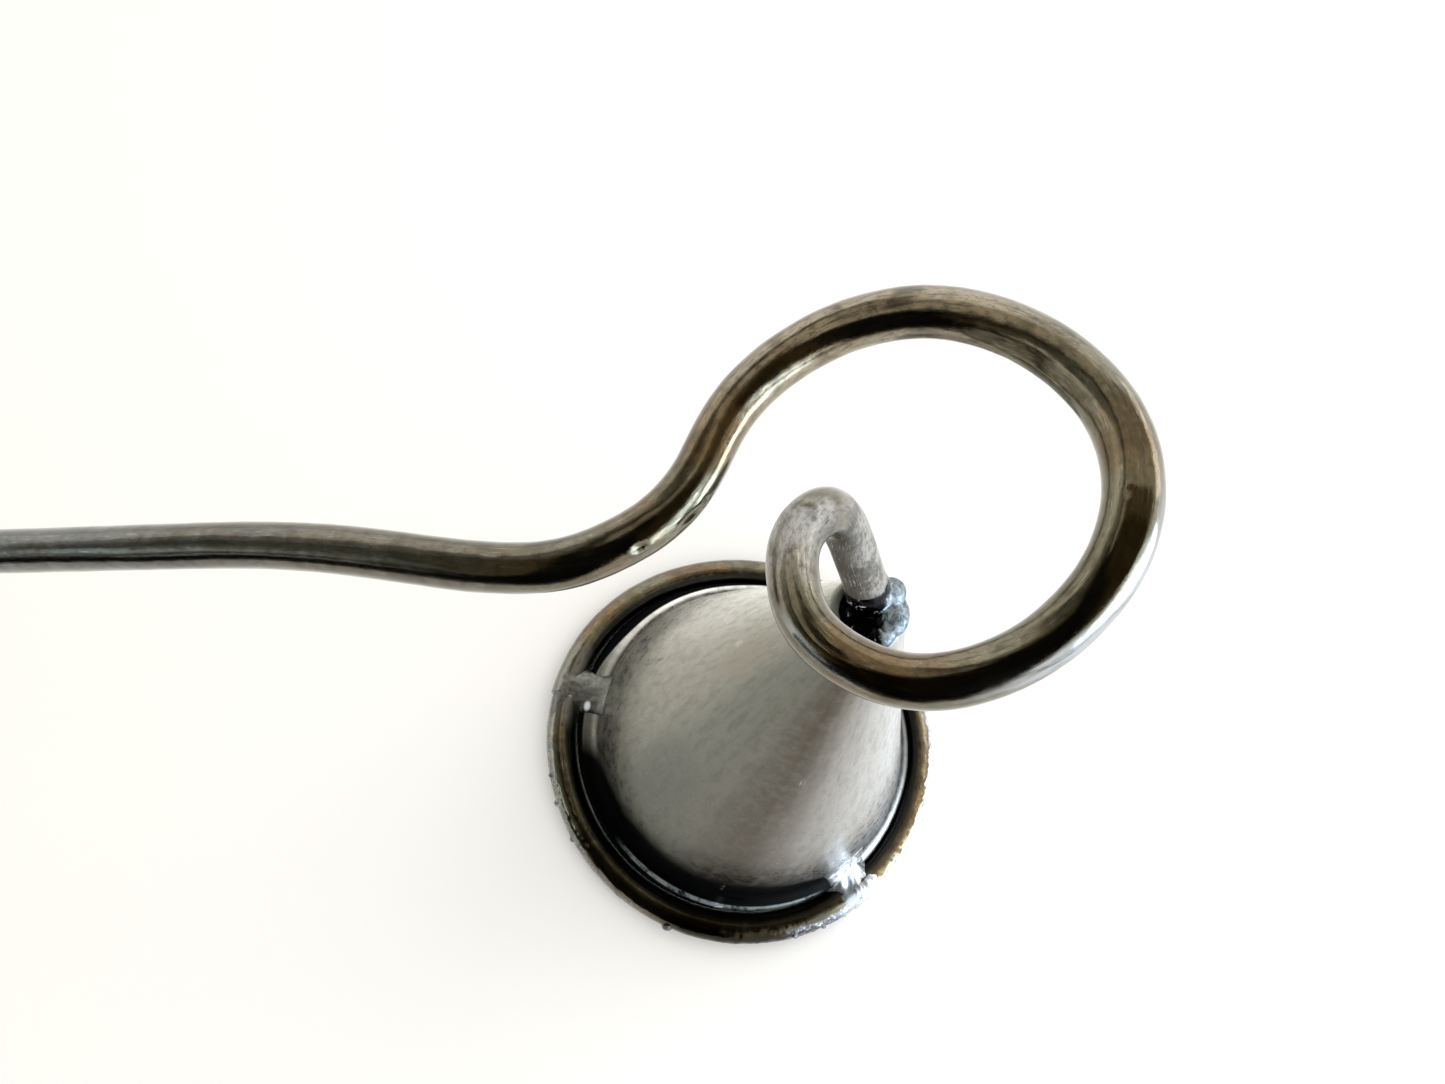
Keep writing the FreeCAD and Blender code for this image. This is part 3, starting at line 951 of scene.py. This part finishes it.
def sheet_tone(s, f):
    """The heat's tints round the bell, and painted light and shade round it, under scratches up its length.
    """
    # Degrees round the bell, from -300 to 60, so that the two ends meet at its back
    x, y, _ = s.split(f.place)
    turn = s.times(s.math("ARCTAN2", y, x), 180 / math.pi)
    turn = s.minus(turn, s.times(s.math("GREATER_THAN", turn, 60.0), 360.0))
    tone = s.colours(s.waver(turn, f.cloud, 12.0), BELL_TINTS_AND_SHADING)
    tone = s.mix(s.ramp(f.brushed, 0.42, 0.70, 0.0, 0.30), tone, (0.07, 0.068, 0.058))
    tone = s.mix(s.ramp(f.fine, 0.42, 0.70, 0.0, 0.18), tone, (0.30, 0.29, 0.26))
    return s.mix(s.ramp(f.scratch, 0.66, 0.74, 0.0, 0.22), tone, (0.42, 0.41, 0.38))


def add_marks(s, f, tone):
    """The longer scratches and the stains."""
    for degrees, height, half_length, half_width, colour, strength in BELL_MARKS:
        angle = math.radians(degrees)
        outward = np.array([math.cos(angle), math.sin(angle), 0.0])
        centre = outward * (CONE_FOOT_RADIUS - (height - CONE_FOOT_HEIGHT) * WALL_CLIMB)
        centre = (centre + np.array([0, 0, height])) * MM
        along = np.array([0, 0, 1.0]) - outward * WALL_CLIMB
        across = np.array([-outward[1], outward[0], 0.0])
        mark = s.patch(f.place, centre, along, across, half_length * MM, half_width * MM)
        outside = s.ramp(s.facing(f.place, degrees), 0.3, 0.5)
        tone = s.mix(s.times(mark, outside, strength, s.ramp(f.brushed, 0.62, 0.40)), tone, colour)
    return tone


def add_foot(s, f, tone):
    """The flared foot is duller than the cone, with painted shade along the crease above it at the back."""
    # Painted shade: a dark line where the cone meets the flared foot, at the back
    crease = s.math("ABSOLUTE", s.minus(f.height, s.plus(s.times(f.cloud, 1.6), 5.4)))
    crease = s.times(s.ramp(crease, 0.30, 0.10), s.ramp(s.facing(f.place, 140), 0.72, 0.9))
    tone = s.mix(s.times(crease, s.ramp(f.brushed, 0.35, 0.55)), tone, (0.04, 0.04, 0.035))
    dull = s.times(s.ramp(f.height, 5.6, 4.6, 0.0, 0.65), s.ramp(s.facing(f.place, 112), 0.95, 0.6))
    return s.mix(dull, tone, (0.10, 0.10, 0.088))


def sheet_soot_and_shade(s, f):
    """Soot on the foot, highest towards the front left, where it also stands for a painted dark reflection
    of the rim, and painted shade in the groove by the rim.
    """
    reach = s.ramp(s.facing(f.place, -110), 0.22, 0.85, 1.5, 8.2)
    foot = s.ramp(s.minus(f.height, s.waver(reach, f.cloud, 3.0)), -1.4, 1.2, 1.0, 0.0)
    # Painted shade in the groove by the rim: black past LIP_LINE, reaching further in towards the back left
    deeper = s.plus(f.radius, s.ramp(s.facing(f.place, 122), 0.72, 0.95, 0.0, 0.80))
    return s.math("MAXIMUM", foot, s.ramp(deeper, LIP_LINE + 0.1, LIP_LINE + 0.35))


def lip_edge_highlight(s, f):
    """A pale line painted along the front of the lip's edge: a painted highlight where the edge catches the
    light.
    """
    line = s.band(f.radius, LIP_LINE - 0.45, LIP_LINE - 0.25, LIP_LINE + 0.05, LIP_LINE + 0.25)
    line = s.times(line, s.ramp(s.facing(f.place, -98), 0.76, 0.90))
    return s.times(line, s.ramp(f.height, 5.0, 4.4), s.ramp(f.fine, 0.70, 0.45))


def satin_steel(name):
    """Worn satin sheet, tinted round the bell by heat and by painted light and shade, with scratches up its
    length, a sooty foot towards the front that also holds a painted dark reflection of the rim, painted
    shade in the groove by the rim, a painted highlight along the lip's front edge, and pale grey at the top
    edge."""
    s = Shader(bpy.data.materials.new(name))
    f = sheet_fields(s)
    tone = add_foot(s, f, add_marks(s, f, sheet_tone(s, f)))
    # Soot and painted shade: the foot is blackened, partly as a painted dark reflection of the rim, and the
    # groove by the rim is painted black
    soot = sheet_soot_and_shade(s, f)
    tone = s.mix(soot, tone, (0.003, 0.003, 0.003))
    # Painted highlight: a pale line along the lip's front edge
    line = lip_edge_highlight(s, f)
    tone = s.mix(line, tone, (0.150, 0.180, 0.175))
    top = s.ramp(f.height, BELL_HEIGHT - 0.35, BELL_HEIGHT - 0.1)
    tone = s.mix(top, tone, (0.150, 0.165, 0.135))
    rough = s.plus(s.ramp(f.fine, 0.3, 0.7, 0.25, 0.36), s.times(soot, 0.15))
    metal = s.minus(1.0, s.math("MAXIMUM", line, s.times(top, 0.8)))
    height = s.plus(s.times(f.fine, 0.3), s.times(f.brushed, 0.6))
    return s.surface(tone, rough, Metallic=metal, Normal=s.bump(height, 0.05, 0.04))


def sooty_steel(name):
    """The bell's inside: dull sheet under a coat of soot, patchy where it has been wiped."""
    s = Shader(bpy.data.materials.new(name))
    place = s.place()
    cloud = s.noise(place, 150, 5, 0.6, 0.6)
    grain = s.noise(place, 2200, 4, 0.7)
    tone = s.mix(s.ramp(cloud, 0.40, 0.66), (0.030, 0.028, 0.026), (0.13, 0.12, 0.105))
    tone = s.mix(s.ramp(grain, 0.45, 0.7, 0.0, 0.5), tone, (0.02, 0.018, 0.016))
    rough = s.ramp(cloud, 0.35, 0.7, 0.62, 0.40)
    return s.surface(tone, rough, Metallic=0.9, Normal=s.bump(s.plus(grain, cloud), 0.4, 0.05))


def weld_metal(name, dark, light, share, strength, gloss, metal=1.0, rays=None, painted_glint=None):
    """Weld bead, mottled dark and light. share is how much of it is dark, strength how wrinkled it
    is, gloss its lowest and highest roughness, rays the middle of a burst that streaks it, and
    painted_glint the middle of a painted highlight, a small pale spot."""
    s = Shader(bpy.data.materials.new(name))
    place = s.place()
    spots = s.noise(place, 1100, 4, 0.65, 0.8)
    grain = s.noise(place, 3500, 3, 0.7)
    if rays:
        middle = Vector(rays) * MM
        away = s.vector("NORMALIZE", s.vector("SUBTRACT", place, tuple(middle)))
        spots = s.noise(away, 5.0, 3, 0.6)
        outward = np.array([0.75, 0.66, 0])
        sideways = np.array([-0.66, 0.75, 0])
        core = s.patch(place, middle, outward, sideways, 4.6 * MM, 9.0 * MM)
        spots = s.minus(spots, s.ramp(core, 0.0, 0.8, 0.16, 0.0))
    tone = s.mix(s.ramp(spots, share - 0.10, share + 0.12), dark, light)
    # A painted highlight: a small pale spot where the weld catches the light
    if painted_glint:
        spot = s.patch(place, Vector(painted_glint) * MM, np.array([0, 1.0, 0]), np.array([1.0, 0, 0]),
                       0.85 * MM, 0.6 * MM)
        tone = s.mix(spot, tone, (0.72, 0.75, 0.80))
        metal = s.minus(1.0, s.times(spot, 0.8))
    rough = s.ramp(grain, 0.3, 0.7, *gloss)
    height = s.plus(s.times(spots, 0.8), s.times(grain, 0.3))
    return s.surface(tone, rough, Metallic=metal, Normal=s.bump(height, strength, 0.07))


def scorched_metal(name):
    """The puddle at the top: burnt glossy black, with a painted highlight as a bright line round the top of
    its sleeve, and a pale blue crust on the side it ran over."""
    s = Shader(bpy.data.materials.new(name))
    place = s.place()
    spots = s.noise(place, 1500, 4, 0.7, 1.0)
    blots = s.noise(place, 520, 3, 0.6, 0.6)
    grain = s.noise(place, 5200, 3, 0.75)
    crust = s.ramp(s.waver(s.split(place)[0], blots, 2.6 * MM), 0.5 * MM, 1.2 * MM)
    specks = s.times(s.ramp(spots, 0.58, 0.62), s.ramp(blots, 0.45, 0.54))
    end = Vector(ROD_CORNERS[-1]) * MM
    along = (Vector(ROD_CORNERS[-2]) * MM - end).normalized()
    beyond = s.dot(s.vector("SUBTRACT", place, tuple(end)), tuple(along))
    # Painted highlight: a bright line round the top of the sleeve, where the rod end's edge catches the
    # light; the white speckle below also carries it
    sleeve_highlight = s.times(s.ramp(beyond, 1.35 * MM, 1.55 * MM), s.ramp(spots, 0.40, 0.50))
    specks = s.math("MAXIMUM", specks, sleeve_highlight)
    black = s.mix(specks, (0.006, 0.006, 0.007), (0.62, 0.64, 0.65))
    pale = s.mix(s.ramp(spots, 0.38, 0.60), (0.050, 0.075, 0.085), (0.27, 0.315, 0.35))
    pale = s.mix(s.ramp(grain, 0.60, 0.72, 0.0, 0.6), pale, (0.70, 0.76, 0.80))
    metal = s.minus(1.0, s.math("MAXIMUM", s.times(specks, 0.8), s.times(crust, 0.55)))
    rough = s.plus(s.ramp(grain, 0.3, 0.7, 0.08, 0.18), s.times(crust, 0.30))
    height = s.plus(s.times(spots, 0.7), s.times(grain, 0.5))
    return s.surface(s.mix(crust, black, pale), rough, Metallic=metal, Normal=s.bump(height, 0.35, 0.08))


# ---------------------------------------------------------------- studio

CAMERA_PLACE = (-26.3, -32.9, 154.6)
CAMERA_TARGET = (-6.2, 30.5, 0.0)
CAMERA_ROLL = 25.0
CAMERA_LENS = 27.03

# Cards over the object: how far behind the camera's plane, outline as (right, down), glow
OVERHEAD_CARDS = [
    ("window_card", 30.0,
     [(96, 5), (400, 20), (2600, 300), (2600, 1700), (400, 700), (110, 210)],
     (2.6, 3.0, 3.4)),
    ("sun_card", 27.0,
     [(112, 50), (800, 130), (2600, 500), (2600, 1500), (400, 650), (120, 200)],
     (6.2, 7.3, 8.5)),
    ("grey_card", 24.0,
     [(-420, -230), (-60, -230), (-60, 120), (-420, 120)],
     (0.42, 0.41, 0.36)),
    ("slate_card", 18.0,
     [(-330, -75), (-100, -80), (-100, 60), (-330, 160)],
     (0.19, 0.21, 0.18)),
    ("pale_card", 20.0,
     [(-60, -210), (180, -190), (150, -20), (-60, -10)],
     (0.82, 0.75, 0.62)),
    ("brown_card", 14.0,
     [(-10, -75), (60, -78), (85, -55), (88, 40), (60, 110), (-150, 70), (-130, -60), (-72, -65),
      (-60, -30), (-25, -25)],
     (0.17, 0.13, 0.075)),
    ("umber_card", 9.0,
     [(-30, -38), (35, -42), (75, -15), (80, 50), (45, 110), (-30, 110)],
     (0.06, 0.040, 0.012)),
    ("black_card", 5.0,
     [(-330, 420), (-250, 140), (-200, 75), (-105, 50), (-80, 10), (-78, -150), (-56, -155),
      (-52, -60), (-42, -25), (-8, -32), (5, 20), (25, 60), (45, 110), (45, 420)],
     (0.002, 0.002, 0.002)),
    ("strip_card", 3.0,
     [(-262, -5), (-226, 0), (-192, 50), (-204, 78), (-272, 52)],
     (1.5, 1.65, 1.65)),
]
ROOM_LIGHT = 1.04           # how bright the room is
ROOM_SHINE = 1.55           # and as the metal reflects it
FLOOR_HALF = 3000
# A curved card that stands at the front left: degrees from +X, half its spread, and its place
LOW_CARD_AZIMUTH = -125.0
LOW_CARD_SPREAD = 35.0
LOW_CARD_STEPS = 4          # from its middle to either end
LOW_CARD_DISTANCE = 210.0
LOW_CARD_FOOT = 0.5
LOW_CARD_HEAD = 60.0
LOW_CARD_GLOW = (0.01, 0.01, 0.01)


def make_camera():
    """A lens close above the object, turned a little about its own line of sight."""
    data = bpy.data.cameras.new("camera")
    data.lens = CAMERA_LENS
    data.sensor_width = 36.0
    data.sensor_fit = "HORIZONTAL"
    data.clip_start = 0.005
    data.clip_end = 20.0
    camera = add_object("camera", data)
    place = Vector(CAMERA_PLACE) * MM
    look = (Vector(CAMERA_TARGET) * MM - place).to_track_quat("-Z", "Y")
    roll = Matrix.Rotation(math.radians(CAMERA_ROLL), 4, "Z")
    camera.matrix_world = Matrix.Translation(place) @ look.to_matrix().to_4x4() @ roll
    bpy.context.scene.camera = camera
    return camera


def make_floor():
    """A pale floor, a little warmer on the handle's side and darker there: painted shade, away from the
    window's light on the right.
    """
    corners = [(-1, -1), (1, -1), (1, 1), (-1, 1)]
    piece = new_object("floor", [(FLOOR_HALF * x, FLOOR_HALF * y, 0) for x, y in corners], [(0, 1, 2, 3)])
    s = Shader(bpy.data.materials.new("pale_floor"))
    place = s.place()
    across = s.plus(s.split(place)[0], s.times(s.noise(place, 6, 3), 0.05))
    # Painted shade: the floor's tone is darker and warmer towards the handle's side
    tone = s.mix(s.ramp(across, -0.16, 0.12), (0.895, 0.88, 0.84), (0.97, 0.97, 0.965))
    piece.data.materials.append(s.surface(tone, 0.75))


def make_world():
    """A bright room, a little warmer on the handle's side."""
    world = bpy.data.worlds.new("room")
    bpy.context.scene.world = world
    s = Shader(world)
    side = s.dot(s.add("TexCoord").outputs["Generated"], (0.8, 0.6, 0))
    tone = s.mix(s.ramp(side, -0.8, 0.9), (1.0, 0.98, 0.92), (1.0, 1.0, 1.0))
    ray = s.add("LightPath").outputs
    strength = s.plus(s.times(ray["Is Glossy Ray"], ROOM_SHINE - ROOM_LIGHT), ROOM_LIGHT)
    lit = s.add("Background", {"Color": tone, "Strength": strength})
    backdrop = s.add("Background", {"Color": (1.0, 1.0, 0.99), "Strength": 1.0})
    blend = s.add("MixShader", {0: ray["Is Camera Ray"], 1: lit.outputs[0], 2: backdrop.outputs[0]})
    s.add("OutputWorld", {"Surface": blend.outputs[0]})


def make_card(name, points, glow):
    """A dark or glowing card, as a studio uses to shape what polished metal reflects. Only
    reflections see it."""
    piece = new_object(name, points, [tuple(range(len(points)))])
    s = Shader(bpy.data.materials.new(name))
    s.add("OutputMaterial", {"Surface": s.add("Emission", {"Color": glow}).outputs[0]})
    piece.data.materials.append(s.owner)
    piece.visible_camera = False
    piece.visible_diffuse = False
    piece.visible_shadow = False


def make_cards(camera):
    """The cards over the object are parallel to the camera's plane, a little behind it. One more
    stands on the floor."""
    turned = camera.matrix_world.to_3x3()
    sideways = turned @ Vector((1, 0, 0))
    down = turned @ Vector((0, -1, 0))
    back = turned @ Vector((0, 0, 1))
    for name, behind, outline, glow in OVERHEAD_CARDS:
        middle = Vector(CAMERA_PLACE) + back * behind
        make_card(name, [middle + sideways * x + down * y for x, y in outline], glow)
    foot = []
    for k in range(-LOW_CARD_STEPS, LOW_CARD_STEPS + 1):
        angle = math.radians(LOW_CARD_AZIMUTH + LOW_CARD_SPREAD * k / LOW_CARD_STEPS)
        foot.append((*(LOW_CARD_DISTANCE * circle(angle)), LOW_CARD_FOOT))
    head = [(x, y, LOW_CARD_HEAD) for x, y, _ in foot[::-1]]
    make_card("low_card", foot + head, LOW_CARD_GLOW)


def make_light(name, place, size, power, tone, only_shine=False):
    """A lamp in metres and watts, aimed at the bell's foot. One that is only_shine lights nothing,
    and shows in reflections alone."""
    data = bpy.data.lights.new(name, "AREA")
    data.shape = "RECTANGLE"
    data.size, data.size_y = size
    data.energy = power
    data.color = tone
    lamp = add_object(name, data)
    lamp.location = place
    lamp.rotation_mode = "QUATERNION"
    lamp.rotation_quaternion = (-Vector(place)).to_track_quat("-Z", "Y")
    lamp.visible_diffuse = not only_shine


camera = make_camera()
make_floor()
make_world()
make_cards(camera)
make_light("window", (0.9, 0.7, 0.8), (0.9, 0.9), 5.0, (1.0, 0.98, 0.95))
make_light("low_window", (0.75, -0.25, 0.22), (0.6, 0.3), 6.0, (0.78, 0.89, 1.0), only_shine=True)
bpy.context.scene.view_settings.view_transform = "Standard"

# The handle's painted highlights are the pale patches on the loop's outer edges, given below
iron = blackened_iron("blackened_iron", cool=(195.0, 130.0), rubbed=(188.0, 203.0, 215.0, 230.0),
                      highlight_patches=(((231.0, 241.0, 247.0, 257.0), (9.9, 10.5, 11.3, 12.1)),
                            ((257.0, 261.0, 264.0, 268.0), (10.0, 10.35, 10.6, 11.0))), ash=(266.0, 276.0))
# The rim's inner half, facing the bell, is painted black: soot and painted shade
rim_iron = blackened_iron("rim_iron", brown=0.6, groove=(3.0, 4.1, 9.0, 9.8), crusted=True)
steel = satin_steel("satin_steel")
sooty = sooty_steel("sooty_steel")
bright = weld_metal("bright_weld", (0.19, 0.20, 0.21), (0.72, 0.76, 0.80), 0.5, 0.12, (0.22, 0.36),
                    metal=0.45, rays=(15.2, -15.0, 5.4))
dull = weld_metal("dull_weld", (0.12, 0.122, 0.108), (0.18, 0.18, 0.165), 0.5, 0.12, (0.32, 0.45),
                  painted_glint=(-23.3, 1.25, 4.4))
scorched = scorched_metal("scorched_weld")

fit_on(make_rod(), "handle_rod", iron)
bell, inner = make_bell()
fit_on(bell, "bell_cone", steel)
bell.data.materials.append(sooty)
bell.data.polygons.foreach_set("material_index", inner)
fit_on(make_rim(), "rim_ring", rim_iron)
for name, node, *shape in RIM_WELDS:
    fit_on(make_rim_weld(name, *shape), node, bright if node == "rim_weld_front" else dull)
fit_on(make_tip_weld(), "tip_weld", scorched)
fit_on(make_seam_bead(), "bell_seam_weld", sooty)

bpy.context.view_layer.update()
